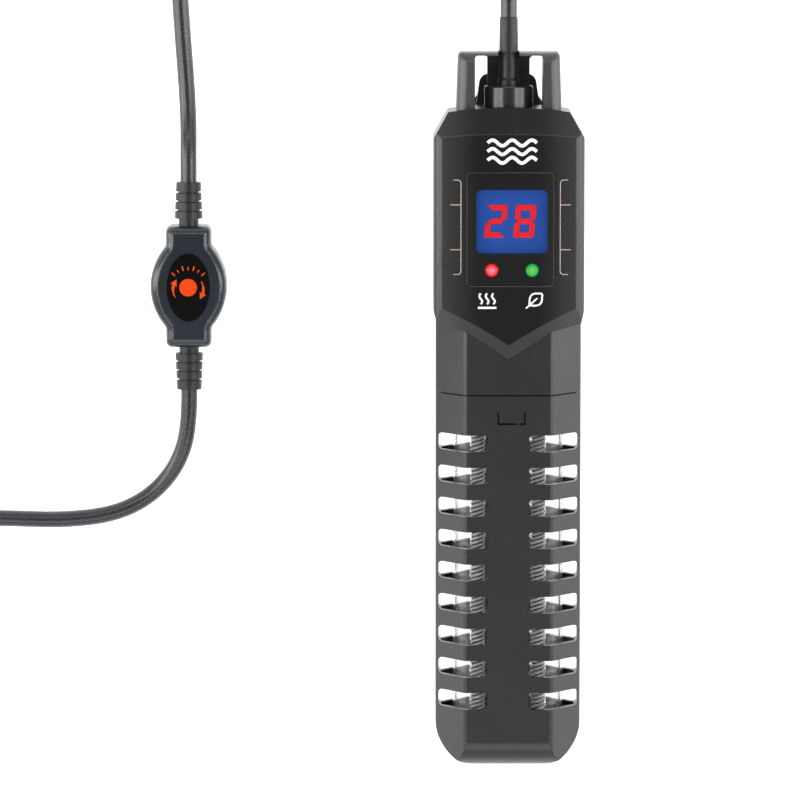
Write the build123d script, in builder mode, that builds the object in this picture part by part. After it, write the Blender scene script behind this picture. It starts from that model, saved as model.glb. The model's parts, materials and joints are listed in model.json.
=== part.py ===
from build123d import *
import math
import os

# Submersible aquarium heater, lying on its two suction cups, in millimetres.
# X is across the heater, Y runs towards the head end, Z comes out of the display face.
# Z = 0 is the plane of the suction cup rims.

LENGTH = 250.0
TOP = LENGTH / 2
BOTTOM = -LENGTH / 2
MID = 27.0  # height of the mid-depth plane
WALL = 2.0
FIT = 0.1  # clearance between parts that slip together

# Head section: a broad, slightly convex front, flat sides and a flat rear
HEAD_W = 52.5
HEAD_D = 31.8
FACE_RADIUS = 600.0
FRONT_EDGE_R = 3.8
REAR_EDGE_R = 7.0
FRONT = MID + HEAD_D / 2
BACK = MID - HEAD_D / 2

# Eight-sided sections: width, depth, and how far each corner is cut across and down
BODY = (50.8, 30.2, 10.25, 12.1)
FACET_EDGE_R = 2.0
SOCKET = (48.5, 27.8, 9.72, 11.34)  # the hole in the head that takes the sleeve's neck

# Stations along Y
HEAD_TOP = 106.0
CHIN = 18.5
CHIN_SHOULDER = 28.4
CHIN_BEND = 15.15
CHIN_SIDE = 31.6
CHIN_CORNER_X = 25.2
CHIN_CORNER_Y = 36.3
PARTING = 6.4
PARTING_GAP = 0.5
NECK_TOP = 44.0
SPIGOT = 12.0
TUBE_TOP = 45.0
TUBE_BOTTOM = -117.0

# Head details
SHOULDER_IN = 5.1
SHOULDER_DOWN = 8.9
LIP_DEPTH = 1.0
LIP_SIDE_DEPTH = 1.7
LIP_RUN = 4.4
ARCH_RADIUS = 150.0
BROW_R = 1.5
CAVITY_TOP = 94.0
PANEL_X = 1.0  # display, lamps and latch sit this far right of the middle
RIM_X = 0.4
RIM_Y = 64.1
RIM_W = 30.5
RIM_H = 40.0
RIM_RISE = 0.1
DISPLAY_Y = 66.8
DISPLAY_W = 24.6
DISPLAY_H = 22.1
DISPLAY_CORNER = 1.7
LED_X = 7.0
LED_Y = 49.9
LED_R = 2.35
BOARD_Z = 31.4
BOARD_T = 1.6
SCREW_X = 21.2
SCREW_YS = (52.0, 88.0)

# Crown, gland and cable
CROWN_DEPTH = 17.0
POST_IN = 11.8
BLOCK_HALF = 7.4
GLAND_R = 8.5
GLAND_TOP = 113.2
BOOT_TOP = 137.0
CABLE_D = 5.8

# Quartz tubes and heating elements
TUBE_X = 10.6
TUBE_R = 8.75
TUBE_WALL = 1.25
CORE_R = 1.95
WIRE_R = 2.7
CORE_BOTTOM = -110.0
CORE_TOP = 4.0
SPACER_T = 1.6
WIRE_BOTTOM = -106.6
WIRE_TOP = 0.0

# Guard windows
ROWS = 9
ROW_PITCH = 11.33
ROW_TOP = -10.8
WINDOW_H = 5.9
WINDOW_IN = 7.15
WINDOW_OUT = 24.25
GUARD_SEAM_X = 14.0
GUARD_CAP_Y = -112.0

# Suction cups
CUP_R = 14.0
UPPER_CUP_Y = 99.0
LOWER_CUP_Y = -66.0

# Hand controller on the cable
CTRL_X = -112.2
CTRL_Y = 41.2
CTRL_HALF = 21.3
CTRL_END_HALF = 7.9
CTRL_WAIST_HALF = 13.4
CTRL_SHOULDER = 14.3
CTRL_SPLIT = 7.0
CTRL_TOP = 14.5
CTRL_AXIS = 7.2
BUTTON_R = 3.1
RELIEF_END = 36.6

# Cable coils
COIL_R = 32.0
COIL_BASE = 0.8
COIL_HALF_W = 5.9
COIL_H = 11.7
TAIL = 24.0


def across(y):
    """The plane at station y whose local x is X and local y is Z."""
    return Plane(origin=(0, y, 0), x_dir=(1, 0, 0), z_dir=(0, -1, 0))


def octagon(size, inset=0.0):
    """Eight-sided section about the mid-depth plane, drawn in the active sketch."""
    width, depth, cut_x, cut_z = size
    half_w = width / 2 - inset
    half_d = depth / 2 - inset
    facet = cut_z * (width / 2 - cut_x) + cut_x * depth / 2 - inset * math.hypot(cut_x, cut_z)
    flat_x = (facet - cut_x * half_d) / cut_z
    flat_z = (facet - cut_z * half_w) / cut_x
    corners = [(flat_x, half_d), (half_w, flat_z), (half_w, -flat_z), (flat_x, -half_d)]
    mirrored = [(-x, z) for x, z in reversed(corners)]
    with Locations((0, MID)):
        Polygon(*corners, *mirrored, align=None)


def head_section(sketch, inset=0.0):
    """Head section, drawn in the given active sketch."""
    with Locations((0, MID)):
        Rectangle(HEAD_W - 2 * inset, HEAD_D - 2 * inset)
    with Locations((0, FRONT - inset - FACE_RADIUS)):
        Circle(FACE_RADIUS, mode=Mode.INTERSECT)
    fillet(sketch.vertices().group_by(Axis.Y)[-1], FRONT_EDGE_R - inset)
    fillet(sketch.vertices().group_by(Axis.Y)[0], REAR_EDGE_R - inset)


def save(node, label):
    """Label a finished piece and write it as its own STEP file."""
    node.part.label = label
    export_step(node.part, f"parts/{label}.step")


def turned(label, profile, x=0.0, z=MID):
    """A piece turned about a line along Y, from (radius, y) corners."""
    with BuildPart() as piece:
        with BuildSketch(Plane.XY.offset(z)):
            with Locations((x, 0)):
                Polygon(*profile, align=None)
        revolve(axis=Axis((x, 0, z), (0, 1, 0)))
    save(piece, label)
    return piece


# ---------------------------------------------------------------- head shells
def bevel_plane(start, end):
    """Plane through the line start-end that meets the head's front LIP_RUN further up."""
    uphill = Vector(0, 0, 1).cross(end - start).normalized()
    if uphill.Y < 0:
        uphill = -uphill
    high = start + uphill * LIP_RUN
    high = Vector(high.X, high.Y, FRONT)
    normal = (end - start).cross(high - start)
    if normal.Z < 0:
        normal = -normal
    return Plane(origin=start, z_dir=normal)


def lip_planes():
    """The four bevels along the lower edge of the head's front, two on each side."""
    planes = []
    for side in (-1, 1):
        apex = Vector(0, CHIN, FRONT - LIP_DEPTH)
        bend = Vector(side * CHIN_BEND, CHIN_SHOULDER, FRONT - LIP_DEPTH)
        corner = Vector(side * CHIN_CORNER_X, CHIN_SIDE, FRONT - LIP_SIDE_DEPTH)
        planes.append(bevel_plane(apex, bend))
        planes.append(bevel_plane(bend, corner))
    return planes


chin_side = [(CHIN_BEND, CHIN_SHOULDER), (HEAD_W / 2, CHIN_SIDE)]
chin_line = [(-x, y) for x, y in reversed(chin_side)] + [(0, CHIN)] + chin_side

# The top is arched, and its shoulders slope back from the front, the rear and both sides
SLOPE = SHOULDER_DOWN / SHOULDER_IN
with BuildPart() as shoulder_form:
    low_r = ARCH_RADIUS - SLOPE * (SHOULDER_IN + 2)
    profile = [(0, BACK - 2), (low_r, BACK - 2), (ARCH_RADIUS, BACK + SHOULDER_IN)]
    profile += [(ARCH_RADIUS, FRONT - SHOULDER_IN), (low_r, FRONT + 2), (0, FRONT + 2)]
    with BuildSketch(Plane.XZ.offset(ARCH_RADIUS - HEAD_TOP)):
        Polygon(*profile, align=None)
    revolve(axis=Axis((0, HEAD_TOP - ARCH_RADIUS, 0), (0, 0, 1)))
    brow_x = HEAD_W / 2 - SHOULDER_IN
    brow_y = HEAD_TOP - 1.6
    wide_x = HEAD_W / 2 + 1
    wide_y = brow_y - SLOPE * (wide_x - brow_x)
    right_side = [(brow_x, HEAD_TOP + 5), (brow_x, brow_y), (wide_x, wide_y), (wide_x, 0)]
    with BuildSketch(Plane.XY):
        Polygon(*right_side, *[(-x, y) for x, y in reversed(right_side)], align=None)
    extrude(amount=2 * MID, mode=Mode.INTERSECT)

with BuildPart() as head_solid:
    with BuildSketch(across(CHIN - 1)) as outer_section:
        head_section(outer_section)
    extrude(amount=-(HEAD_TOP + 1 - CHIN))
    add(shoulder_form.part, mode=Mode.INTERSECT)
    brow = head_solid.edges().filter_by_position(Axis.Z, FRONT - 0.6, FRONT + 0.1).sort_by(Axis.Y)
    fillet([edge for edge in brow if edge.bounding_box().size.X > HEAD_W / 2], BROW_R)
    with BuildSketch(Plane.XY.offset(MID)):
        Polygon((-40, CHIN - 5), (-40, CHIN_SIDE), *chin_line, (40, CHIN_SIDE), (40, CHIN - 5), align=None)
    extrude(amount=MID, mode=Mode.SUBTRACT)
    for bevel in lip_planes():
        split(bisect_by=bevel, keep=Keep.BOTTOM)
    with BuildSketch(across(CHIN - 5)):
        with Locations((0, MID / 2)):
            Rectangle(80, MID)
    extrude(amount=-(CHIN_SIDE - CHIN + 5), mode=Mode.SUBTRACT)
    with BuildSketch(Plane.XY):
        for side in (-1, 1):
            corner = [(side * CHIN_CORNER_X, CHIN_SIDE - 1), (side * CHIN_CORNER_X, CHIN_SIDE)]
            corner += [(side * (HEAD_W / 2 + 0.1), CHIN_CORNER_Y), (side * (HEAD_W / 2 + 0.1), CHIN_SIDE - 1)]
            Polygon(*corner, align=None)
    extrude(amount=2 * MID, mode=Mode.SUBTRACT)

with BuildPart() as head_cavity:
    with BuildSketch(across(CHIN - 6)):
        octagon(SOCKET)
    extrude(amount=-(NECK_TOP - CHIN + 6))
    with BuildSketch(across(NECK_TOP)) as cavity_section:
        head_section(cavity_section, WALL)
    extrude(amount=-(CAVITY_TOP - NECK_TOP))
    with BuildSketch(across(CAVITY_TOP)):
        with Locations((0, MID)):
            Rectangle(38, 17.4)
    extrude(amount=-(102.5 - CAVITY_TOP))

with BuildPart() as screw_posts:
    with BuildSketch(Plane.XY):
        with Locations(*[(side * SCREW_X, y) for side in (-1, 1) for y in SCREW_YS]):
            Circle(2.8)
    extrude(amount=2 * MID)
    add(head_solid.part, mode=Mode.INTERSECT)

with BuildPart() as head_shell:
    add(head_solid.part)
    add(head_cavity.part, mode=Mode.SUBTRACT)
    add(screw_posts.part)
    with BuildSketch(across(HEAD_TOP - 8)):
        with Locations((0, MID)):
            Circle(6.0)
    extrude(amount=-12, mode=Mode.SUBTRACT)

with BuildPart() as head_front:
    add(head_shell.part)
    split(bisect_by=Plane.XY.offset(MID), keep=Keep.TOP)
    with BuildSketch(Plane.XY.offset(FRONT - WALL / 2)):
        with Locations((RIM_X, RIM_Y)):
            RectangleRounded(RIM_W, RIM_H, 1.6)
            RectangleRounded(RIM_W - 1.0, RIM_H - 1.0, 1.1, mode=Mode.SUBTRACT)
    extrude(amount=WALL / 2 + RIM_RISE)
    with BuildSketch(Plane.XY.offset(MID + 8)):
        with Locations((PANEL_X, DISPLAY_Y)):
            RectangleRounded(DISPLAY_W + FIT, DISPLAY_H + FIT, DISPLAY_CORNER)
        with Locations((PANEL_X - LED_X, LED_Y), (PANEL_X + LED_X, LED_Y)):
            Circle(LED_R + FIT)
    extrude(amount=12, mode=Mode.SUBTRACT)
    with BuildSketch(Plane.XY.offset(MID)):
        with Locations(*[(side * SCREW_X, y) for side in (-1, 1) for y in SCREW_YS]):
            Circle(1.3)
    extrude(amount=6, mode=Mode.SUBTRACT)
save(head_front, "head_front_shell")

with BuildPart() as head_rear:
    add(head_shell.part)
    split(bisect_by=Plane.XY.offset(MID), keep=Keep.BOTTOM)
    with BuildSketch(Plane.XY):
        with Locations(*[(side * SCREW_X, y) for side in (-1, 1) for y in SCREW_YS]):
            Circle(2.4)
    extrude(amount=21.6, mode=Mode.SUBTRACT)
    with BuildSketch(Plane.XY.offset(21.6)):
        with Locations(*[(side * SCREW_X, y) for side in (-1, 1) for y in SCREW_YS]):
            Circle(1.5)
    extrude(amount=10, mode=Mode.SUBTRACT)
save(head_rear, "head_rear_shell")

with BuildPart() as screws:
    with BuildSketch(Plane.XY.offset(20.0)):
        with Locations(*[(side * SCREW_X, y) for side in (-1, 1) for y in SCREW_YS]):
            Circle(2.3)
    extrude(amount=1.6)
    with BuildSketch(Plane.XY.offset(21.6)):
        with Locations(*[(side * SCREW_X, y) for side in (-1, 1) for y in SCREW_YS]):
            Circle(1.3)
    extrude(amount=11)
save(screws, "head_screws")

# ---------------------------------------------------------------- display, lamps and board
with BuildPart() as board:
    with BuildSketch(Plane.XY.offset(BOARD_Z)):
        with Locations((0, 70)):
            RectangleRounded(35, 50, 2)
    extrude(amount=BOARD_T)
save(board, "head_circuit_board")

BOARD_TOP = BOARD_Z + BOARD_T
MODULE_TOP = FRONT - 2.6

with BuildPart() as module:
    with BuildSketch(Plane.XY.offset(BOARD_TOP)):
        with Locations((PANEL_X, DISPLAY_Y)):
            RectangleRounded(DISPLAY_W + 1.6, DISPLAY_H + 1.6, 1.0)
    extrude(amount=MODULE_TOP - BOARD_TOP)
save(module, "display_module")

with BuildPart() as window:
    with BuildSketch(Plane.XY.offset(FRONT - 1.8)):
        with Locations((PANEL_X, DISPLAY_Y)):
            RectangleRounded(DISPLAY_W, DISPLAY_H, DISPLAY_CORNER)
    extrude(amount=1.7)
save(window, "display_window")

# Two seven-segment figures reading 28, leaning to the right
DIGIT_H = 11.4
DIGIT_W = 7.2
DIGIT_PITCH = 10.0
BAR = 1.9
LEAN = math.radians(5.5)
SEGMENTS = {"2": "abged", "8": "abcdefg"}


def segment_bar(name, x0, y0):
    """Corners of one segment of a figure whose lower left corner is at x0, y0."""
    gap = 0.14
    half = DIGIT_H / 2
    inner_x = DIGIT_W - BAR
    if name == "g":
        corners = [(BAR / 2 + gap, half), (BAR, half + BAR / 2), (inner_x, half + BAR / 2)]
        corners += [(DIGIT_W - BAR / 2 - gap, half), (inner_x, half - BAR / 2), (BAR, half - BAR / 2)]
    elif name in "ad":
        corners = [(gap, DIGIT_H), (DIGIT_W - gap, DIGIT_H), (inner_x - gap, DIGIT_H - BAR)]
        corners += [(BAR + gap, DIGIT_H - BAR)]
    else:
        corners = [(DIGIT_W, DIGIT_H - gap), (inner_x, DIGIT_H - BAR - gap), (inner_x, half + BAR / 2 + gap)]
        corners += [(DIGIT_W - BAR / 2, half + gap), (DIGIT_W, half + BAR / 2)]
    if name in "fe":
        corners = [(DIGIT_W - x, y) for x, y in corners]
    if name in "ecd":
        corners = [(x, DIGIT_H - y) for x, y in corners]
    return [(x0 + x + y * math.tan(LEAN), y0 + y) for x, y in corners]


with BuildPart() as digits:
    with BuildSketch(Plane.XY.offset(MODULE_TOP)):
        for place, figure in enumerate("28"):
            left = PANEL_X - DIGIT_PITCH / 2 - DIGIT_W / 2 - 1.05 + place * DIGIT_PITCH
            for name in SEGMENTS[figure]:
                Polygon(*segment_bar(name, left, DISPLAY_Y - DIGIT_H / 2), align=None)
    extrude(amount=0.3)
save(digits, "display_digits")

for label, side in (("heating_lamp", -1), ("energy_lamp", 1)):
    with BuildPart() as lamp:
        with BuildSketch(Plane.XY.offset(BOARD_TOP)):
            with Locations((PANEL_X + side * LED_X, LED_Y)):
                Circle(LED_R)
        extrude(amount=FRONT + 0.3 - BOARD_TOP)
        fillet(lamp.edges().sort_by(Axis.Z)[-1], 1.2)
        with BuildSketch(Plane.XY.offset(BOARD_TOP)):
            with Locations((PANEL_X + side * LED_X, LED_Y)):
                Circle(LED_R + 0.5)
        extrude(amount=1.0)
    save(lamp, label)

with BuildPart() as relay:
    with BuildSketch(Plane.XY.offset(BOARD_Z - 12)):
        with Locations((-6.5, 80)):
            Rectangle(15, 19)
    extrude(amount=12)
save(relay, "power_relay")

with BuildPart() as capacitor:
    with BuildSketch(Plane.XY.offset(BOARD_Z - 10.5)):
        with Locations((9.5, 80)):
            RectangleRounded(7, 13, 1)
    extrude(amount=10.5)
save(capacitor, "suppression_capacitor")

# ---------------------------------------------------------------- crown, gland and boot
with BuildPart() as crown:
    with BuildSketch(Plane.XY.offset(MID - CROWN_DEPTH / 2)) as crown_outline:
        Polygon((-18.4, 104), (18.4, 104), (17.7, TOP), (-17.7, TOP), align=None)
        fillet(crown_outline.vertices().group_by(Axis.Y)[-1], 1.6)
    extrude(amount=CROWN_DEPTH)
    flanks = crown.edges().filter_by(lambda e: abs(e.center().X) > 17 and e.bounding_box().size.Y > 10)
    fillet(flanks, 4.0)
    with BuildSketch(Plane.XY) as gaps:
        for side in (-1, 1):
            with Locations((side * (POST_IN + BLOCK_HALF) / 2, (TOP - 1.2 + 100) / 2)):
                RectangleRounded(POST_IN - BLOCK_HALF, TOP - 1.2 - 100, 1.1)
        with Locations((0, (GLAND_TOP + 100) / 2)):
            Rectangle(2 * POST_IN, GLAND_TOP - 100)
    extrude(amount=2 * MID, mode=Mode.SUBTRACT)
    with BuildSketch(Plane.XY.offset(MID - 4.1)):
        with Locations((0, (TOP - 1.2 + 100) / 2)):
            Rectangle(2 * BLOCK_HALF, TOP - 1.2 - 100)
    extrude(amount=MID, mode=Mode.SUBTRACT)
    with BuildSketch(Plane.XY.offset(MID - 4.1)):
        with Locations((0, TOP)):
            Rectangle(7.4, 6)
    extrude(amount=MID, mode=Mode.SUBTRACT)
    add(head_solid.part, mode=Mode.SUBTRACT)
save(crown, "crown_guard")

with BuildPart() as gland:
    with BuildSketch(Plane.XY.offset(MID)):
        stem = [(4.1, 98), (6.0, 98), (6.0, HEAD_TOP - 1)]
        cap = [(GLAND_R, HEAD_TOP - 1), (GLAND_R, GLAND_TOP - 0.5)]
        cap += [(GLAND_R - 0.5, GLAND_TOP), (4.1, GLAND_TOP)]
        Polygon(*stem, *cap, align=None)
    revolve(axis=Axis((0, 0, MID), (0, 1, 0)))
    add(head_shell.part, mode=Mode.SUBTRACT)
save(gland, "cable_gland")

with BuildPart() as gland_nut:
    with BuildSketch(across(98.5)):
        with Locations((0, MID)):
            RegularPolygon(radius=8.6, side_count=6, major_radius=False)
            Circle(6.0, mode=Mode.SUBTRACT)
    extrude(amount=-4)
save(gland_nut, "gland_lock_nut")

boot_root = [(CABLE_D / 2, 100), (4.0, 100), (4.0, 115), (3.75, 115.4), (3.5, 116)]
turned("cable_boot", [*boot_root, (3.15, BOOT_TOP - 0.4), (CABLE_D / 2, BOOT_TOP)])
turned("cable_tail", [(0, 94), (CABLE_D / 2, 94), (CABLE_D / 2, BOOT_TOP), (0, BOOT_TOP)])

# ---------------------------------------------------------------- sleeve and seals
with BuildPart() as gasket_groove:
    with BuildSketch(across(37)):
        octagon(SOCKET)
    extrude(amount=-3)
    with BuildSketch(across(37)):
        octagon(SOCKET, 1.1)
    extrude(amount=-3, mode=Mode.SUBTRACT)

with BuildPart() as sleeve:
    with BuildSketch(across(PARTING)) as sleeve_section:
        octagon(BODY)
        fillet(sleeve_section.vertices(), FACET_EDGE_R)
    extrude(amount=-(CHIN_SIDE - PARTING))
    with BuildSketch(Plane.XY.offset(MID)):
        Polygon((-40, CHIN_SIDE), *chin_line, (40, CHIN_SIDE), (40, 60), (-40, 60), align=None)
    extrude(amount=MID, mode=Mode.SUBTRACT)
    with BuildSketch(across(CHIN - 2)):
        octagon(SOCKET, FIT)
    extrude(amount=-(NECK_TOP - CHIN + 2))
    with BuildSketch(across(PARTING - SPIGOT)):
        octagon(BODY, WALL + FIT)
    extrude(amount=-(SPIGOT + 4))
    with BuildSketch(across(PARTING - SPIGOT)):
        octagon(BODY, WALL + FIT + 1.6)
    extrude(amount=-(NECK_TOP + SPIGOT), mode=Mode.SUBTRACT)
    add(gasket_groove.part, mode=Mode.SUBTRACT)
    with BuildSketch(Plane.XY.offset(MID)):
        with Locations((PANEL_X, PARTING - 8.6)):
            Rectangle(6.2, 9)
    extrude(amount=MID, mode=Mode.SUBTRACT)
save(sleeve, "body_sleeve")

with BuildPart() as neck_gasket:
    with BuildSketch(across(37.1)):
        octagon(SOCKET)
    extrude(amount=-2.8)
    with BuildSketch(across(37.1)):
        octagon(SOCKET, 1.1)
    extrude(amount=-2.8, mode=Mode.SUBTRACT)
save(neck_gasket, "neck_gasket")

PROBE_Z = MID - 8.6
PIN_X = 3.2
PIN_Z = MID + 8.4

with BuildPart() as tube_seal:
    with BuildSketch(across(32)):
        octagon(BODY, WALL + FIT + 1.65)
    extrude(amount=-11)
    with BuildSketch(across(32)):
        with Locations((-TUBE_X, MID), (TUBE_X, MID)):
            Circle(TUBE_R)
        with Locations((0, PROBE_Z)):
            Circle(2.0)
        with Locations((-PIN_X, PIN_Z), (PIN_X, PIN_Z)):
            Circle(1.0)
    extrude(amount=-11, mode=Mode.SUBTRACT)
save(tube_seal, "tube_seal")

turned("temperature_probe", [(0, 14), (1.2, 14), (2.0, 14.8), (2.0, 46), (0, 46)], z=PROBE_Z)

with BuildPart() as water_pins:
    with BuildSketch(across(20)):
        with Locations((-PIN_X, PIN_Z), (PIN_X, PIN_Z)):
            Circle(1.0)
    extrude(amount=-26)
save(water_pins, "water_sensor_pins")

# ---------------------------------------------------------------- quartz tubes and elements
for name, side in (("left", -1), ("right", 1)):
    axis_x = side * TUBE_X
    with BuildPart() as tube:
        with BuildSketch(Plane.XY.offset(MID)):
            with BuildLine(Plane.XY.offset(MID)):
                outer = Line((axis_x + TUBE_R, TUBE_TOP), (axis_x + TUBE_R, TUBE_BOTTOM + TUBE_R))
                RadiusArc(outer @ 1, (axis_x, TUBE_BOTTOM), TUBE_R)
                Line((axis_x, TUBE_BOTTOM), (axis_x, TUBE_BOTTOM + TUBE_WALL))
                bore_r = TUBE_R - TUBE_WALL
                bowl_end = (axis_x + bore_r, TUBE_BOTTOM + TUBE_R)
                bowl = RadiusArc((axis_x, TUBE_BOTTOM + TUBE_WALL), bowl_end, -bore_r)
                Line(bowl @ 1, (axis_x + bore_r, TUBE_TOP))
                Line((axis_x + bore_r, TUBE_TOP), outer @ 0)
            make_face()
        revolve(axis=Axis((axis_x, 0, MID), (0, 1, 0)))
    save(tube, f"quartz_tube_{name}")
    core = [(0, CORE_BOTTOM), (CORE_R, CORE_BOTTOM), (CORE_R, CORE_TOP), (0, CORE_TOP)]
    turned(f"element_core_{name}", core, x=axis_x)
    windings = [(CORE_R, WIRE_BOTTOM), (WIRE_R, WIRE_BOTTOM), (WIRE_R, WIRE_TOP), (CORE_R, WIRE_TOP)]
    turned(f"heating_wire_{name}", windings, x=axis_x)

with BuildPart() as spacers:
    for y in (WIRE_BOTTOM - SPACER_T, WIRE_TOP):
        with BuildSketch(across(y)):
            with Locations((-TUBE_X, MID), (TUBE_X, MID)):
                Circle(TUBE_R - TUBE_WALL - FIT)
                Circle(CORE_R, mode=Mode.SUBTRACT)
        extrude(amount=-SPACER_T)
save(spacers, "core_spacers")

with BuildPart() as element_wires:
    with BuildSketch(across(CORE_TOP)):
        with Locations((-TUBE_X, MID), (TUBE_X, MID)):
            Circle(0.8)
    extrude(amount=-(47 - CORE_TOP))
save(element_wires, "element_wires")

turned("thermal_fuse", [(0, 14), (1.8, 14), (1.8, 25), (0, 25)], x=TUBE_X - 4.2)

# ---------------------------------------------------------------- guard
def rounded_end(inset):
    """The closed lower end of the guard: a section run down Y with all its end corners rounded."""
    with BuildPart() as body:
        with BuildSketch(across(BOTTOM + inset)) as section:
            octagon(BODY, inset)
            if inset == 0:
                fillet(section.vertices(), FACET_EDGE_R)
        extrude(amount=-(PARTING - PARTING_GAP - BOTTOM - inset))
        with BuildSketch(Plane.XY) as plan:
            with Locations((0, (PARTING + BOTTOM + inset) / 2)):
                Rectangle(BODY[0] - 2 * inset, PARTING - BOTTOM - inset)
            fillet(plan.vertices().group_by(Axis.Y)[0], 15.2 - inset)
        extrude(amount=2 * MID, mode=Mode.INTERSECT)
        with BuildSketch(Plane.YZ.offset(-40)) as side_view:
            with Locations(((PARTING + BOTTOM + inset) / 2, MID)):
                Rectangle(PARTING - BOTTOM - inset, BODY[1] - 2 * inset)
            fillet(side_view.vertices().group_by(Axis.X)[0], 9.0 - inset)
        extrude(amount=80, mode=Mode.INTERSECT)
    return body.part


guard_outer = rounded_end(0.0)
guard_inner = rounded_end(WALL)

with BuildPart() as guard:
    add(guard_outer)
    add(guard_inner, mode=Mode.SUBTRACT)
    with BuildSketch(Plane.XY):
        for row in range(ROWS):
            for side in (-1, 1):
                with Locations((side * (WINDOW_IN + WINDOW_OUT) / 2, ROW_TOP - row * ROW_PITCH)):
                    RectangleRounded(WINDOW_OUT - WINDOW_IN, WINDOW_H, 1.3)
    extrude(amount=2 * MID, mode=Mode.SUBTRACT)
    with BuildSketch(Plane.XY.offset(MID)) as latch_slot:
        with Locations((PANEL_X, -2.0)):
            Rectangle(9.8, 4.2)
        with Locations((PANEL_X, -1.7)):
            Rectangle(8.6, 3.6, mode=Mode.SUBTRACT)
    extrude(amount=MID, mode=Mode.SUBTRACT)
    with BuildSketch(Plane.XY.offset(MID + BODY[1] / 2 - WALL - 0.7)):
        with Locations((PANEL_X, -2.4)):
            Rectangle(5.6, 1.8)
    extrude(amount=0.7)

# The guard is saved as four long walls and an end cap that meet face to face


def guard_piece(label, cuts):
    """One stretch of the guard: what is left on the kept side of each cut."""
    with BuildPart() as stretch:
        add(guard.part)
        for origin, normal in cuts:
            split(bisect_by=Plane(origin=origin, z_dir=normal), keep=Keep.TOP)
    save(stretch, label)


CAP_CUT = (0, GUARD_CAP_Y, 0)
LEFT_CUT = (-GUARD_SEAM_X, 0, 0)
RIGHT_CUT = (GUARD_SEAM_X, 0, 0)
guard_piece("guard_end_cap", [(CAP_CUT, (0, -1, 0))])
guard_piece("guard_left_wall", [(CAP_CUT, (0, 1, 0)), (LEFT_CUT, (-1, 0, 0))])
guard_piece("guard_right_wall", [(CAP_CUT, (0, 1, 0)), (RIGHT_CUT, (1, 0, 0))])
between = [(CAP_CUT, (0, 1, 0)), (LEFT_CUT, (1, 0, 0)), (RIGHT_CUT, (-1, 0, 0))]
guard_piece("guard_front_wall", between + [((0, 0, MID), (0, 0, 1))])
guard_piece("guard_rear_wall", between + [((0, 0, MID), (0, 0, -1))])

with BuildPart() as foot_cushion:
    with BuildSketch(across(-116)):
        with Locations((0, MID)):
            RectangleRounded(38.6, 18.8, 9.3)
    extrude(amount=-8)
    with BuildSketch(across(-116)):
        with Locations((-TUBE_X, MID), (TUBE_X, MID)):
            Circle(TUBE_R + 0.08)
    extrude(amount=-8, mode=Mode.SUBTRACT)
save(foot_cushion, "tube_foot_cushion")


# ---------------------------------------------------------------- suction cups and brackets
def suction_cup(label, y):
    """A suction cup turned about Z, with a neck and a knob that sits in its bracket."""
    with BuildPart() as cup:
        with BuildSketch(Plane.XZ.offset(-y)):
            with BuildLine(Plane.XZ.offset(-y)):
                Line((CUP_R, 0), (CUP_R, 0.7))
                dome = RadiusArc((CUP_R, 0.7), (4.0, 6.0), 14.5)
                Line(dome @ 1, (2.4, 6.6))
                Line((2.4, 6.6), (2.4, 9.4))
                Line((2.4, 9.4), (4.3, 9.4))
                Line((4.3, 9.4), (4.3, 10.9))
                Line((4.3, 10.9), (0, 10.9))
                Line((0, 10.9), (0, 3.6))
                Line((0, 3.6), (3.0, 3.4))
                RadiusArc((3.0, 3.4), (CUP_R - 2.6, 0), -14.0)
                Line((CUP_R - 2.6, 0), (CUP_R, 0))
            make_face()
        revolve(axis=Axis((0, y, 0), (0, 0, 1)))
    save(cup, label)
    return cup


suction_cup("upper_suction_cup", UPPER_CUP_Y)
suction_cup("lower_suction_cup", LOWER_CUP_Y)


def key_slot(bracket_y, entry_y):
    """Keyhole from the bracket's edge to the cup's seat, drawn at neck width in the active sketch."""
    with Locations((0, bracket_y)):
        Circle(2.6)
    with Locations((0, (bracket_y + entry_y) / 2)):
        Rectangle(5.2, abs(bracket_y - entry_y))


with BuildPart() as upper_bracket:
    with BuildSketch(Plane.XY.offset(7.6)) as bracket_outline:
        Polygon((-11.3, 84), (11.3, 84), (11.3, 104), (9.6, 116.2), (-9.6, 116.2), (-11.3, 104), align=None)
        fillet(bracket_outline.vertices().group_by(Axis.Y)[-1], 3.5)
        fillet(bracket_outline.vertices().group_by(Axis.Y)[0], 2)
    extrude(amount=BACK - 7.6)
    with BuildSketch(Plane.XY.offset(7.6)):
        key_slot(UPPER_CUP_Y, 84)
    extrude(amount=1.7, mode=Mode.SUBTRACT)
    with BuildSketch(Plane.XY.offset(9.3)):
        with Locations((0, UPPER_CUP_Y)):
            Circle(4.6)
        with Locations((0, (UPPER_CUP_Y + 84) / 2)):
            Rectangle(9.2, UPPER_CUP_Y - 84)
    extrude(amount=5, mode=Mode.SUBTRACT)
save(upper_bracket, "upper_cup_bracket")

with BuildPart() as lower_bracket:
    with BuildSketch(Plane.XY.offset(7.6)):
        with Locations((0, LOWER_CUP_Y)):
            RectangleRounded(13.4, 26, 2)
    extrude(amount=MID - BODY[1] / 2 - 7.6)
    with BuildSketch(Plane.XY.offset(7.6)):
        key_slot(LOWER_CUP_Y, LOWER_CUP_Y - 14)
    extrude(amount=1.7, mode=Mode.SUBTRACT)
    with BuildSketch(Plane.XY.offset(9.3)):
        with Locations((0, LOWER_CUP_Y)):
            Circle(4.6)
        with Locations((0, LOWER_CUP_Y - 7)):
            Rectangle(9.2, 14)
    extrude(amount=1.8, mode=Mode.SUBTRACT)
save(lower_bracket, "lower_cup_bracket")

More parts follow.
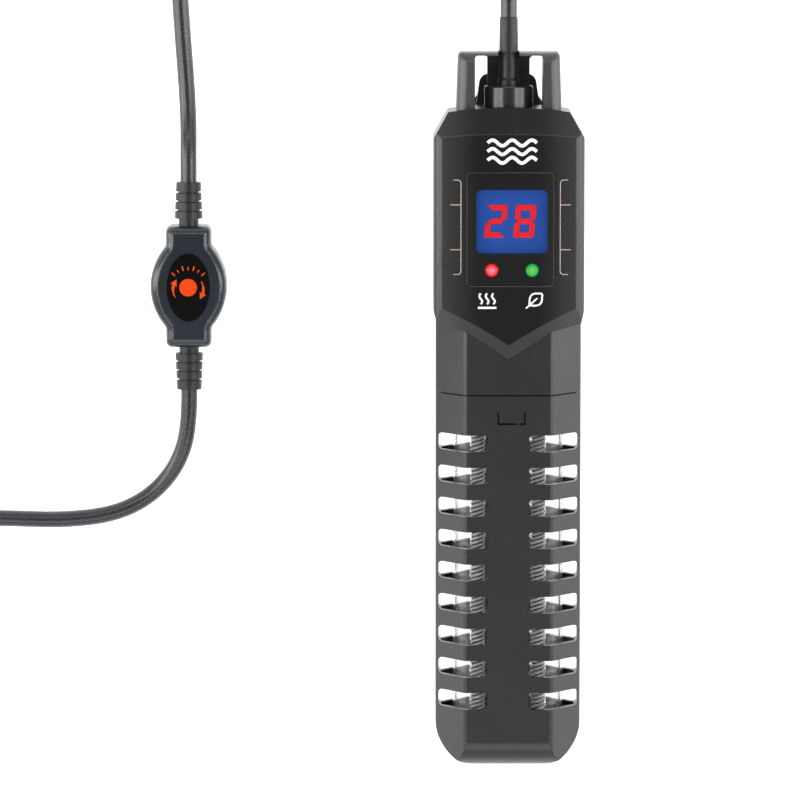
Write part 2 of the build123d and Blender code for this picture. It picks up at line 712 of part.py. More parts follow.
# ---------------------------------------------------------------- hand controller
with BuildSketch() as controller_outline:
    with BuildLine():
        end_x = CTRL_END_HALF
        Polyline((-end_x, CTRL_SHOULDER), (-end_x, CTRL_HALF), (end_x, CTRL_HALF), (end_x, CTRL_SHOULDER))
        ThreePointArc((end_x, CTRL_SHOULDER), (CTRL_WAIST_HALF, 0), (end_x, -CTRL_SHOULDER))
        Polyline((end_x, -CTRL_SHOULDER), (end_x, -CTRL_HALF), (-end_x, -CTRL_HALF), (-end_x, -CTRL_SHOULDER))
        ThreePointArc((-end_x, -CTRL_SHOULDER), (-CTRL_WAIST_HALF, 0), (-end_x, CTRL_SHOULDER))
    make_face()
    fillet(controller_outline.vertices().filter_by(lambda v: abs(v.Y) > CTRL_HALF - 0.1), 2.0)
    fillet(controller_outline.vertices().filter_by(lambda v: abs(abs(v.Y) - CTRL_SHOULDER) < 0.1), 3.0)

CTRL_POSTS = [(CTRL_X + side * 5.2, CTRL_Y + end * 13.2) for side in (-1, 1) for end in (-1, 1)]

with BuildPart() as lower_case:
    with BuildSketch(Plane.XY):
        with Locations((CTRL_X, CTRL_Y)):
            add(controller_outline.sketch)
    extrude(amount=CTRL_SPLIT)
    fillet(lower_case.faces().sort_by(Axis.Z)[0].edges(), 2.2)
    with BuildSketch(Plane.XY.offset(1.6)):
        with Locations((CTRL_X, CTRL_Y)):
            add(offset(controller_outline.sketch, amount=-1.8, mode=Mode.PRIVATE))
    extrude(amount=CTRL_SPLIT, mode=Mode.SUBTRACT)
    with BuildSketch(across(CTRL_Y - 40)):
        with Locations((CTRL_X, CTRL_AXIS)):
            Circle(3.5)
    extrude(amount=-80, mode=Mode.SUBTRACT)
    with BuildSketch(Plane.XY.offset(1.0)):
        with Locations(*CTRL_POSTS):
            Circle(1.8)
    extrude(amount=CTRL_SPLIT - 1.0)
    with BuildSketch(Plane.XY):
        with Locations(*CTRL_POSTS):
            Circle(1.0)
    extrude(amount=CTRL_SPLIT, mode=Mode.SUBTRACT)
    with BuildSketch(Plane.XY):
        with Locations(*CTRL_POSTS):
            Circle(1.7)
    extrude(amount=0.9, mode=Mode.SUBTRACT)
save(lower_case, "controller_lower_case")

with BuildPart() as upper_case:
    with BuildSketch(Plane.XY.offset(CTRL_SPLIT)):
        with Locations((CTRL_X, CTRL_Y)):
            add(controller_outline.sketch)
    extrude(amount=CTRL_TOP - CTRL_SPLIT)
    fillet(upper_case.faces().sort_by(Axis.Z)[-1].edges(), 3.2)
    with BuildSketch(Plane.XY.offset(CTRL_SPLIT)):
        with Locations((CTRL_X, CTRL_Y)):
            add(offset(controller_outline.sketch, amount=-1.8, mode=Mode.PRIVATE))
    extrude(amount=CTRL_TOP - CTRL_SPLIT - 3.6, mode=Mode.SUBTRACT)
    with BuildSketch(Plane.XY.offset(CTRL_TOP - 0.4)):
        with Locations((CTRL_X, CTRL_Y)):
            Ellipse(7.6, 12.05)
    extrude(amount=2, mode=Mode.SUBTRACT)
    with BuildSketch(Plane.XY.offset(CTRL_SPLIT)):
        with Locations((CTRL_X, CTRL_Y)):
            Circle(BUTTON_R + FIT)
    extrude(amount=CTRL_TOP, mode=Mode.SUBTRACT)
    with BuildSketch(Plane.XY.offset(CTRL_SPLIT)):
        with Locations((CTRL_X, CTRL_Y)):
            Circle(5.0)
    extrude(amount=CTRL_TOP - CTRL_SPLIT - 2.0, mode=Mode.SUBTRACT)
    with BuildSketch(across(CTRL_Y - 40)):
        with Locations((CTRL_X, CTRL_AXIS)):
            Circle(3.5)
    extrude(amount=-80, mode=Mode.SUBTRACT)
    with BuildSketch(Plane.XY.offset(CTRL_SPLIT)):
        with Locations(*CTRL_POSTS):
            Circle(1.8)
    extrude(amount=CTRL_TOP - CTRL_SPLIT - 3.0)
    with BuildSketch(Plane.XY.offset(CTRL_SPLIT)):
        with Locations(*CTRL_POSTS):
            Circle(0.95)
    extrude(amount=3.0, mode=Mode.SUBTRACT)
save(upper_case, "controller_upper_case")

with BuildPart() as panel:
    with BuildSketch(Plane.XY.offset(CTRL_TOP - 0.4)):
        with Locations((CTRL_X, CTRL_Y)):
            Ellipse(7.5, 11.95)
            Circle(BUTTON_R + FIT, mode=Mode.SUBTRACT)
    extrude(amount=0.5)
save(panel, "controller_panel")

with BuildPart() as button:
    with BuildSketch(Plane.XY.offset(CTRL_TOP - 3.8)):
        with Locations((CTRL_X, CTRL_Y)):
            Circle(BUTTON_R)
    extrude(amount=3.8 + 0.7)
    fillet(button.edges().sort_by(Axis.Z)[-1], 0.4)
    with BuildSketch(Plane.XY.offset(CTRL_TOP - 3.8)):
        with Locations((CTRL_X, CTRL_Y)):
            Circle(4.4)
    extrude(amount=1.4)
save(button, "set_button")

with BuildPart() as control_board:
    with BuildSketch(Plane.XY.offset(5.0)):
        with Locations((CTRL_X, CTRL_Y)):
            RectangleRounded(11.5, 22, 1)
    extrude(amount=1.2)
save(control_board, "controller_circuit_board")

with BuildPart() as switch:
    with BuildSketch(Plane.XY.offset(6.2)):
        with Locations((CTRL_X, CTRL_Y)):
            RectangleRounded(6, 6, 0.5)
    extrude(amount=2.9)
    with BuildSketch(Plane.XY.offset(9.1)):
        with Locations((CTRL_X, CTRL_Y)):
            Circle(1.7)
    extrude(amount=0.9)
save(switch, "tact_switch")


def strain_relief(label, side):
    """Four-ribbed strain relief on the controller's end at side +1 or -1."""
    root = CTRL_HALF
    steps = [(CABLE_D / 2, root - 4.4), (3.65, root - 4.4), (3.65, root - 2.2)]
    steps += [(3.45, root - 2.2), (3.45, root + 2.6)]
    pitch = 3.18
    rib = 2.45
    for count in range(4):
        low = root + 2.6 + count * pitch
        radius = 4.85 - 0.14 * count
        steps += [(radius, low), (radius - 0.05, low + rib)]
        if count < 3:
            steps += [(radius - 1.0, low + rib + 0.1), (radius - 1.0, low + pitch - 0.1)]
    steps += [(4.3, RELIEF_END), (CABLE_D / 2, RELIEF_END)]
    return turned(label, [(r, CTRL_Y + side * y) for r, y in steps], x=CTRL_X, z=CTRL_AXIS)


strain_relief("controller_upper_relief", 1)
strain_relief("controller_lower_relief", -1)

with BuildPart() as controller_screws:
    with BuildSketch(Plane.XY.offset(0.1)):
        with Locations(*CTRL_POSTS):
            Circle(1.6)
    extrude(amount=0.8)
    with BuildSketch(Plane.XY.offset(0.9)):
        with Locations(*CTRL_POSTS):
            Circle(0.9)
    extrude(amount=9.0)
save(controller_screws, "controller_screws")


# ---------------------------------------------------------------- cables
def bend_radii(points):
    """Radius at each corner: 0.45 of the shorter run over the tangent of half the turn."""
    corners = [Vector(*p) for p in points]
    radii = []
    for before, corner, after in zip(corners, corners[1:], corners[2:]):
        turn = math.radians((corner - before).get_angle(after - corner))
        shorter = min((corner - before).length, (after - corner).length)
        radii.append(0.45 * shorter / math.tan(turn / 2))
    return radii


def lead(label, points):
    """A cable along straight runs joined by tangent arcs."""
    radii = bend_radii(points)
    with BuildPart() as tube:
        with BuildLine() as path:
            FilletPolyline(*points, radius=radii)
        with BuildSketch(Plane(origin=path.line @ 0, z_dir=path.line % 0)):
            Circle(CABLE_D / 2)
        sweep(path=path.line)
    length = path.wires()[0].length
    expected = math.pi * CABLE_D**2 / 4 * length
    print(label, "radii", [round(r, 1) for r in radii])
    print(label, "length", round(length, 1), "volume ratio", round(tube.part.volume / expected, 4))
    save(tube, label)


def coil_point(centre, angle, z):
    """A point of the outer turn at an angle in degrees."""
    radius = COIL_R + CABLE_D / 2
    return (centre[0] + radius * math.cos(math.radians(angle)),
            centre[1] + radius * math.sin(math.radians(angle)), z)


def coil(label, centre, start, tails):
    """Outer shape of a coil turned from angle start, with straight tails: (angle, heading, z, length)."""
    out_x = math.cos(math.radians(start))
    out_y = math.sin(math.radians(start))
    section = Plane(origin=(centre[0], centre[1], 0), x_dir=(out_x, out_y, 0), z_dir=(out_y, -out_x, 0))
    with BuildPart() as ring:
        with BuildSketch(section):
            with Locations((COIL_R, COIL_BASE + COIL_H / 2)):
                RectangleRounded(2 * COIL_HALF_W, COIL_H, 2.2)
        revolve(axis=Axis((centre[0], centre[1], 0), (0, 0, 1)))
        for angle, heading, z, length in tails:
            direction = (math.cos(math.radians(heading)), math.sin(math.radians(heading)), 0)
            with BuildSketch(Plane(origin=coil_point(centre, angle, z), z_dir=direction)):
                Circle(CABLE_D / 2)
            extrude(amount=length)
    save(ring, label)


def tie(label, centre, angle):
    """A flat band round the coil's section."""
    heading = math.radians(angle)
    radial = (math.cos(heading), math.sin(heading), 0)
    along = (-math.sin(heading), math.cos(heading), 0)
    middle = (centre[0] + COIL_R * radial[0], centre[1] + COIL_R * radial[1], COIL_BASE + COIL_H / 2)
    with BuildPart() as band:
        with BuildSketch(Plane(origin=middle, x_dir=radial, z_dir=along)):
            RectangleRounded(2 * COIL_HALF_W + 2.1, COIL_H + 2 * COIL_BASE, 2.9)
            RectangleRounded(2 * COIL_HALF_W + 0.5, COIL_H, 2.2, mode=Mode.SUBTRACT)
        extrude(amount=3.5, both=True)
    save(band, label)


FLOOR_Z = CABLE_D / 2
LOW_TURN = COIL_BASE + 3.0
HIGH_TURN = COIL_BASE + 1.5 * CABLE_D

HEATER_COIL = (-59.0, 208.0)
IN_ANGLE = 30.0
OUT_ANGLE = 150.0


def tail_end(centre, angle, heading, z, length=TAIL):
    """The far end of a coil's straight tail."""
    x, y, _ = coil_point(centre, angle, z)
    return (x + length * math.cos(math.radians(heading)), y + length * math.sin(math.radians(heading)), z)


coil_in = tail_end(HEATER_COIL, IN_ANGLE, IN_ANGLE - 90, LOW_TURN)
coil_out = tail_end(HEATER_COIL, OUT_ANGLE, OUT_ANGLE + 90, HIGH_TURN)

lead("heater_lead_run", [
    (0, BOOT_TOP, MID),
    (0, 150, MID),
    (-0.8, 162.2, 22.5),
    (-2.6, 172, 14.2),
    (-5.7, 182.8, 7.7),
    tail_end(HEATER_COIL, IN_ANGLE, IN_ANGLE - 90, LOW_TURN, TAIL + 12),
    coil_in,
])
coil("heater_lead_coil", HEATER_COIL, 225, [
    (IN_ANGLE, IN_ANGLE - 90, LOW_TURN, TAIL),
    (OUT_ANGLE, OUT_ANGLE + 90, HIGH_TURN, TAIL),
])
tie("heater_lead_tie", HEATER_COIL, 270)
lead("heater_lead_tail", [
    coil_out,
    tail_end(HEATER_COIL, OUT_ANGLE, OUT_ANGLE + 90, HIGH_TURN, TAIL + 12),
    (-112.6, 181.5, 6.8),
    (-115.2, 166.0, 3.8),
    (-115.4, 148.0, FLOOR_Z),
    (-114.2, 129.0, FLOOR_Z),
    (-112.9, 112.0, FLOOR_Z),
    (CTRL_X, 98.0, 4.2),
    (CTRL_X, 87.8, CTRL_AXIS),
    (CTRL_X, CTRL_Y + RELIEF_END, CTRL_AXIS),
])

MAINS_COIL = (-222.0, -7.0)
mains_in = tail_end(MAINS_COIL, 270, 0, LOW_TURN)
mains_out = tail_end(MAINS_COIL, 180, 90, HIGH_TURN)

lead("mains_lead_run", [
    (CTRL_X, CTRL_Y - RELIEF_END, CTRL_AXIS),
    (CTRL_X, -9.2, CTRL_AXIS),
    (-116.4, -22.8, 5.2),
    (-125.8, -34.0, FLOOR_Z),
    (-138.8, -40.6, FLOOR_Z),
    (-157.0, -42.8, FLOOR_Z),
    tail_end(MAINS_COIL, 270, 0, LOW_TURN, TAIL + 20),
    mains_in,
])
coil("mains_lead_coil", MAINS_COIL, 45, [(270, 0, LOW_TURN, TAIL), (180, 90, HIGH_TURN, TAIL)])
tie("mains_lead_tie", MAINS_COIL, 45)

# ---------------------------------------------------------------- mains plug
PLUG_X = mains_out[0]
PLUG_Y = mains_out[1]
PLUG_Z = mains_out[2]
PLUG_RELIEF = 26.0
PLUG_LENGTH = 32.0

relief = [(0, PLUG_Y), (3.5, PLUG_Y), (5.6, PLUG_Y + PLUG_RELIEF), (0, PLUG_Y + PLUG_RELIEF)]
turned("plug_strain_relief", relief, x=PLUG_X, z=PLUG_Z)

with BuildPart() as plug_body:
    with BuildSketch(across(PLUG_Y + PLUG_RELIEF)):
        with Locations((PLUG_X, PLUG_Z)):
            RectangleRounded(17, 14, 5)
    with BuildSketch(across(PLUG_Y + PLUG_RELIEF + 12)):
        with Locations((PLUG_X, PLUG_Z)):
            RectangleRounded(25, 2 * PLUG_Z, 5)
    loft()
    with BuildSketch(across(PLUG_Y + PLUG_RELIEF + 12)):
        with Locations((PLUG_X, PLUG_Z)):
            RectangleRounded(25, 2 * PLUG_Z, 5)
    extrude(amount=-(PLUG_LENGTH - 12))
    with BuildSketch(across(PLUG_Y + PLUG_RELIEF + PLUG_LENGTH - 8)):
        with Locations((PLUG_X - 6.35, PLUG_Z), (PLUG_X + 6.35, PLUG_Z)):
            Rectangle(1.5, 6.3)
    extrude(amount=-8, mode=Mode.SUBTRACT)
save(plug_body, "plug_body")

with BuildPart() as pins:
    with BuildSketch(across(PLUG_Y + PLUG_RELIEF + PLUG_LENGTH - 8)):
        with Locations((PLUG_X - 6.35, PLUG_Z), (PLUG_X + 6.35, PLUG_Z)):
            Rectangle(1.5, 6.3)
    extrude(amount=-(8 + 16.5))
    tips = pins.faces().sort_by(Axis.Y)[-2:]
    chamfer(tips.edges().filter_by(Axis.X), 1.0)
save(pins, "plug_pins")
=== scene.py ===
import bpy
import json
import math
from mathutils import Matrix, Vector


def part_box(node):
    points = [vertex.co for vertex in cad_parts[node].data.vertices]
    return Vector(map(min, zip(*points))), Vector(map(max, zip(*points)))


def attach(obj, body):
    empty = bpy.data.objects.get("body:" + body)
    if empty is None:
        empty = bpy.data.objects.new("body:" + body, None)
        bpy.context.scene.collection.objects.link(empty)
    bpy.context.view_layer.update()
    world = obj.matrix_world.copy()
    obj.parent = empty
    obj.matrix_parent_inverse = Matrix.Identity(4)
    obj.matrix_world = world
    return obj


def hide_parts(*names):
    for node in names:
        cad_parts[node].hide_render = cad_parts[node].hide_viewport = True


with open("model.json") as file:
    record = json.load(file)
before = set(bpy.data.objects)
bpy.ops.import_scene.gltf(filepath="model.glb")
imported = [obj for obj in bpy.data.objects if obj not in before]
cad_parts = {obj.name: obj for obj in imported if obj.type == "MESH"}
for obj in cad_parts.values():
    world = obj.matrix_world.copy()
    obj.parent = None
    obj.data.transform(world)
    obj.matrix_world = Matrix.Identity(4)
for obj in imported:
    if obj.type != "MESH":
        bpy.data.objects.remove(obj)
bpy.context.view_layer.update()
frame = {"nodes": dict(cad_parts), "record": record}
MM = 0.001

# Sizes shared with the CAD model, in millimetres
MID = 27.0  # height of the heater's mid-depth plane
FRONT = 42.9  # height of the head's front at its middle line
FACE_RADIUS = 600.0  # radius of the head's convex front
TUBE_X = 10.6
PANEL_X = 1.0  # display and lamps sit this far right of the middle
RIM_X = 0.4
RIM_Y = 64.1
RIM_W = 30.5
RIM_H = 40.0
RIM_RISE = 0.1
LED_X = 7.0  # each lamp's distance from PANEL_X
LED_Y = 49.9
BOOT_TOP = 137.0
CTRL_X = -112.2
CTRL_Y = 41.2
CTRL_PANEL_TOP = 14.6
CTRL_AXIS = 7.2
RELIEF_END = 36.6  # far end of each strain relief, measured from CTRL_Y
CABLE_D = 5.8
COIL_R = 32.0
COIL_BASE = 0.8
TAIL = 24.0  # length of a coil's straight end

# Heights and radius of a cable's centre line, in millimetres
FLOOR_Z = CABLE_D / 2
LOW_TURN = COIL_BASE + 3.0
HIGH_TURN = COIL_BASE + 1.5 * CABLE_D
OUTER_TURN = COIL_R + CABLE_D / 2


# ------------------------------------------------------------------ camera
CAMERA_TILT = math.radians(6.6)
CAMERA_DISTANCE = 2.15
VIEW_WIDTH = 0.280  # width of the view at the aim point
AIM = Vector((-0.0378, 0.0029, MID * MM))
SENSOR_WIDTH = 36.0
CLIP_END = 10.0


def make_camera():
    data = bpy.data.cameras.new("camera")
    data.sensor_width = SENSOR_WIDTH
    data.lens = data.sensor_width * CAMERA_DISTANCE / VIEW_WIDTH
    data.clip_end = CLIP_END
    camera = bpy.data.objects.new("camera", data)
    offset = Vector((0, math.sin(CAMERA_TILT), math.cos(CAMERA_TILT))) * CAMERA_DISTANCE
    camera.location = AIM + offset
    camera.rotation_euler = (-CAMERA_TILT, 0, 0)
    bpy.context.collection.objects.link(camera)
    bpy.context.scene.camera = camera


# ------------------------------------------------------------------ cables
HEATER_COIL = (-59.0, 208.0)
MAINS_COIL = (-222.0, -7.0)
TURN_STEP = 15  # degrees of a coil between two points
NEXT_TURN = CABLE_D  # how far a turn lies beside or above the one before


def tail_end(centre, angle, heading, z, length=TAIL):
    """The far end of a coil's straight tail, as in the CAD model."""
    x = centre[0] + OUTER_TURN * math.cos(math.radians(angle))
    y = centre[1] + OUTER_TURN * math.sin(math.radians(angle))
    heading = math.radians(heading)
    return (x + length * math.cos(heading), y + length * math.sin(heading), z)


def stepped(t, steps, start):
    """A value that moves smoothly by each step's rise between its two turn counts."""
    value = start
    for low, high, rise in steps:
        s = min(max((t - low) / (high - low), 0.0), 1.0)
        value += rise * s * s * (3 - 2 * s)
    return value


def coil_turns(centre, start_angle, sweep, radius_steps, height_steps):
    """Points along a coil's turns, one for each step of its sweep."""
    count = int(abs(sweep) / TURN_STEP)
    points = []
    for k in range(count + 1):
        angle = math.radians(start_angle + sweep * k / count)
        t = abs(sweep) * k / count / 360
        radius = stepped(t, radius_steps, OUTER_TURN)
        height = stepped(t, height_steps, LOW_TURN)
        x = centre[0] + radius * math.cos(angle)
        y = centre[1] + radius * math.sin(angle)
        points.append((x, y, height))
    return points


def cable(name, points):
    """A cable on one smooth curve with the route's points as control points.

    The section's radius is set at the points, so the depth is 1.
    """
    data = bpy.data.curves.new(name, "CURVE")
    data.dimensions = "3D"
    data.bevel_depth = 1.0
    data.bevel_resolution = 6
    data.resolution_u = 8
    data.use_fill_caps = True
    spline = data.splines.new("NURBS")
    spline.points.add(len(points) - 1)
    for point, place in zip(spline.points, points):
        point.co = (place[0] * MM, place[1] * MM, place[2] * MM, 1)
        point.radius = CABLE_D / 2 * MM
    spline.order_u = 3
    spline.use_endpoint_u = True
    piece = bpy.data.objects.new(name, data)
    bpy.context.collection.objects.link(piece)
    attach(piece, "heater")
    return piece


def make_cables():
    heater_in = tail_end(HEATER_COIL, 30, -60, LOW_TURN)
    heater_out = tail_end(HEATER_COIL, 150, 240, HIGH_TURN)
    route = [
        (0, BOOT_TOP, MID),
        (0, 150, MID),
        (-0.8, 162.2, 22.5),
        (-2.6, 172, 14.2),
        (-5.7, 182.8, 7.7),
        tail_end(HEATER_COIL, 30, -60, LOW_TURN, TAIL + 12),
        heater_in,
    ]
    inward_outward = [(0.7, 0.95, -NEXT_TURN), (2.0, 2.3, NEXT_TURN)]
    route += coil_turns(HEATER_COIL, 30, 840, inward_outward, [(1.5, 1.83, NEXT_TURN)])
    route += [
        heater_out,
        tail_end(HEATER_COIL, 150, 240, HIGH_TURN, TAIL + 12),
        (-112.6, 181.5, 6.8),
        (-115.2, 166.0, 3.8),
        (-115.4, 148.0, FLOOR_Z),
        (-114.2, 129.0, FLOOR_Z),
        (-112.9, 112.0, FLOOR_Z),
        (CTRL_X, 98.0, 4.2),
        (CTRL_X, 87.8, CTRL_AXIS),
        (CTRL_X, CTRL_Y + RELIEF_END, CTRL_AXIS),
    ]
    heater_lead = cable("heater_lead", route)
    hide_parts("heater_lead_run", "heater_lead_coil", "heater_lead_tail")

    mains_in = tail_end(MAINS_COIL, 270, 0, LOW_TURN)
    mains_out = tail_end(MAINS_COIL, 180, 90, HIGH_TURN)
    route = [
        (CTRL_X, CTRL_Y - RELIEF_END, CTRL_AXIS),
        (CTRL_X, -9.2, CTRL_AXIS),
        (-116.4, -22.8, 5.2),
        (-125.8, -34.0, FLOOR_Z),
        (-138.8, -40.6, FLOOR_Z),
        (-157.0, -42.8, FLOOR_Z),
        tail_end(MAINS_COIL, 270, 0, LOW_TURN, TAIL + 20),
        mains_in,
    ]
    inward_outward = [(0.7, 0.95, -NEXT_TURN), (2.25, 2.5, NEXT_TURN)]
    route += coil_turns(MAINS_COIL, 270, -1170, inward_outward, [(1.5, 1.83, NEXT_TURN)])
    route += [mains_out]
    mains_lead = cable("mains_lead", route)
    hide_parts("mains_lead_run", "mains_lead_coil")
    return heater_lead, mains_lead


# ------------------------------------------------------------------ materials
# Noise scales count features in a metre; depths are in metres
DRIFT = 45.0
DRIFT_DETAIL = 3.0
NOISE_LOW = 0.3
NOISE_HIGH = 0.7
COAT_ROUGHNESS = 0.15
QUARTZ_IOR = 1.46
LENS_R = 2.3  # in millimetres


def new_material(name):
    material = bpy.data.materials.new(name)
    material.use_nodes = True
    nodes = material.node_tree.nodes
    links = material.node_tree.links
    shader = nodes["Principled BSDF"]
    return material, nodes, links, shader


def object_noise(nodes, links, scale, detail=2.0, stretch=(1, 1, 1)):
    """Noise in the object's own metres, scaled and stretched."""
    coords = nodes.new("ShaderNodeTexCoord")
    mapping = nodes.new("ShaderNodeMapping")
    mapping.inputs["Scale"].default_value = stretch
    noise = nodes.new("ShaderNodeTexNoise")
    noise.inputs["Scale"].default_value = scale
    noise.inputs["Detail"].default_value = detail
    links.new(coords.outputs["Object"], mapping.inputs["Vector"])
    links.new(mapping.outputs["Vector"], noise.inputs["Vector"])
    return noise


def varied(nodes, links, noise, low, high, target):
    """Drives a socket between two values or colours with the noise."""
    if isinstance(low, tuple):
        ramp = nodes.new("ShaderNodeValToRGB")
        ramp.color_ramp.elements[0].position = NOISE_LOW
        ramp.color_ramp.elements[1].position = NOISE_HIGH
        ramp.color_ramp.elements[0].color = (*low, 1)
        ramp.color_ramp.elements[1].color = (*high, 1)
        links.new(noise.outputs["Fac"], ramp.inputs["Fac"])
        links.new(ramp.outputs["Color"], target)
    else:
        span = nodes.new("ShaderNodeMapRange")
        span.inputs["From Min"].default_value = NOISE_LOW
        span.inputs["From Max"].default_value = NOISE_HIGH
        span.inputs["To Min"].default_value = low
        span.inputs["To Max"].default_value = high
        links.new(noise.outputs["Fac"], span.inputs["Value"])
        links.new(span.outputs["Result"], target)


def bumped(nodes, links, noise, depth, shader):
    """Turns the noise into relief of the given depth."""
    bump = nodes.new("ShaderNodeBump")
    bump.inputs["Strength"].default_value = 1.0
    bump.inputs["Distance"].default_value = depth
    links.new(noise.outputs["Fac"], bump.inputs["Height"])
    links.new(bump.outputs["Normal"], shader.inputs["Normal"])


def moulded(name, dark, light, rough=0.35, grain=2600.0, depth=0.00001, specular=0.5, coat=0.0):
    """Moulded plastic or rubber: slow colour drift, uneven sheen, fine surface grain."""
    material, nodes, links, shader = new_material(name)
    slow = object_noise(nodes, links, DRIFT, DRIFT_DETAIL)
    fine = object_noise(nodes, links, grain)
    varied(nodes, links, slow, dark, light, shader.inputs["Base Color"])
    varied(nodes, links, fine, rough * 0.88, rough * 1.12, shader.inputs["Roughness"])
    bumped(nodes, links, fine, depth, shader)
    shader.inputs["Specular IOR Level"].default_value = specular
    shader.inputs["Coat Weight"].default_value = coat
    shader.inputs["Coat Roughness"].default_value = COAT_ROUGHNESS
    return material


def painted_sheen_sides(name, middle, edge, rough, depth, specular, dark_half, pale_half):
    """Dark moulded plastic whose front turns paler between two distances from its middle line: painted
    sheen that stands for the side lights' reflection on the convex front.
    """
    material = moulded(name, middle, edge, rough=rough, depth=depth, specular=specular)
    nodes = material.node_tree.nodes
    links = material.node_tree.links
    shader = nodes["Principled BSDF"]
    coords = nodes.new("ShaderNodeTexCoord")
    split = nodes.new("ShaderNodeSeparateXYZ")
    away = nodes.new("ShaderNodeMath")
    away.operation = "ABSOLUTE"
    span = nodes.new("ShaderNodeMapRange")
    span.interpolation_type = "SMOOTHSTEP"
    span.inputs["From Min"].default_value = dark_half * MM
    span.inputs["From Max"].default_value = pale_half * MM
    blend = nodes.new("ShaderNodeMix")
    blend.data_type = "RGBA"
    blend.inputs[7].default_value = (*edge, 1)
    drift = nodes.new("ShaderNodeHueSaturation")
    drift.inputs["Color"].default_value = (*middle, 1)
    slow = object_noise(nodes, links, DRIFT, DRIFT_DETAIL)
    varied(nodes, links, slow, 0.85, 1.15, drift.inputs["Value"])
    links.new(coords.outputs["Object"], split.inputs["Vector"])
    links.new(split.outputs["X"], away.inputs[0])
    links.new(away.outputs["Value"], span.inputs["Value"])
    links.new(span.outputs["Result"], blend.inputs[0])
    links.new(drift.outputs["Color"], blend.inputs[6])
    links.new(blend.outputs[2], shader.inputs["Base Color"])
    return material


def metal(name, dark, light, rough, stretch):
    """Drawn or plated metal with fine lines along its length."""
    material, nodes, links, shader = new_material(name)
    lines = object_noise(nodes, links, 900.0, stretch=stretch)
    varied(nodes, links, lines, dark, light, shader.inputs["Base Color"])
    varied(nodes, links, lines, rough * 0.7, rough * 1.3, shader.inputs["Roughness"])
    shader.inputs["Metallic"].default_value = 1.0
    bumped(nodes, links, lines, 0.000004, shader)
    return material


def clear(name, tint, rough, through):
    """Clear glass with a slight tint that lets the given part of the light through."""
    material, nodes, links, shader = new_material(name)
    fine = object_noise(nodes, links, 400.0)
    varied(nodes, links, fine, rough, rough + 0.02, shader.inputs["Roughness"])
    shader.inputs["Base Color"].default_value = (*tint, 1)
    shader.inputs["Transmission Weight"].default_value = through
    shader.inputs["IOR"].default_value = QUARTZ_IOR
    return material


def thin_clear(name, cloud):
    """A thin clear cover, all but unseen: cloud is its least opacity."""
    material, nodes, links, shader = new_material(name)
    fine = object_noise(nodes, links, 500.0)
    varied(nodes, links, fine, 0.08, 0.12, shader.inputs["Roughness"])
    varied(nodes, links, fine, cloud, cloud * 1.5, shader.inputs["Alpha"])
    shader.inputs["Base Color"].default_value = (0.5, 0.6, 0.8, 1)
    shader.inputs["Specular IOR Level"].default_value = 0.1
    return material


def backlit_and_painted_glow(name, colour, glow, rough=0.25):
    """A field with a faint mottled glow under a smooth face: backlight for the display and digits, and
    painted glow for the orange print and button, which give no light of their own.
    """
    material, nodes, links, shader = new_material(name)
    slow = object_noise(nodes, links, 160.0)
    dim = tuple(c * 0.92 for c in colour)
    varied(nodes, links, slow, dim, colour, shader.inputs["Base Color"])
    varied(nodes, links, slow, dim, colour, shader.inputs["Emission Color"])
    shader.inputs["Emission Strength"].default_value = glow
    shader.inputs["Roughness"].default_value = rough
    shader.inputs["Specular IOR Level"].default_value = 0.1
    return material


def lamp(name, edge, middle, centre_x, centre_y, radius):
    """A lamp lens that is paler over its light source."""
    material, nodes, links, shader = new_material(name)
    coords = nodes.new("ShaderNodeTexCoord")
    offset = nodes.new("ShaderNodeVectorMath")
    offset.operation = "SUBTRACT"
    offset.inputs[1].default_value = (centre_x * MM, centre_y * MM, 0)
    flat = nodes.new("ShaderNodeVectorMath")
    flat.operation = "MULTIPLY"
    flat.inputs[1].default_value = (1, 1, 0)
    reach = nodes.new("ShaderNodeVectorMath")
    reach.operation = "LENGTH"
    ramp = nodes.new("ShaderNodeValToRGB")
    span = nodes.new("ShaderNodeMapRange")
    span.inputs["From Max"].default_value = radius * MM
    ramp.color_ramp.elements[0].color = (*middle, 1)
    ramp.color_ramp.elements[1].color = (*edge, 1)
    ramp.color_ramp.elements[1].position = 0.75
    links.new(coords.outputs["Object"], offset.inputs[0])
    links.new(offset.outputs["Vector"], flat.inputs[0])
    links.new(flat.outputs["Vector"], reach.inputs[0])
    links.new(reach.outputs["Value"], span.inputs["Value"])
    links.new(span.outputs["Result"], ramp.inputs["Fac"])
    links.new(ramp.outputs["Color"], shader.inputs["Base Color"])
    links.new(ramp.outputs["Color"], shader.inputs["Emission Color"])
    shader.inputs["Emission Strength"].default_value = 0.55
    shader.inputs["Roughness"].default_value = 0.2
    shader.inputs["Specular IOR Level"].default_value = 0.2
    return material


